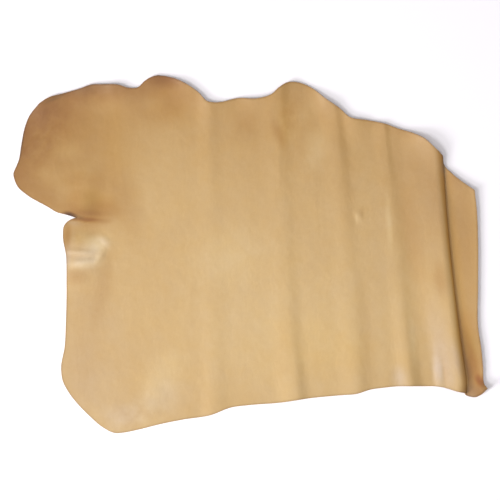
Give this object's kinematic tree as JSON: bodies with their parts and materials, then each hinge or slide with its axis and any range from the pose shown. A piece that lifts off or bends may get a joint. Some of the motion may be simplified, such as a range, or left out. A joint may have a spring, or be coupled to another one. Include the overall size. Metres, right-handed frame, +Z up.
{
  "type": "leather hide",
  "caption": "Natural vegetable-tanned leather shoulder hide, laid flat grain side up, with soft ripples, one standing pleat and a shank lobe.",
  "frame": {"origin": "on the ground below the middle of the hide's box", "axes": "+X from the neck edge to the straight butt cut, along the longest side; +Y from the back edge to the belly edge; +Z up, out of the grain side"},
  "size_m": [1.182, 0.8932, 0.0219],
  "materials": {
    "leather": "natural undyed grain, satin, darker at the shank and the butt cut"
  },
  "bodies": {
    "root": {"hide": "leather"}
  },
  "joints": []
}
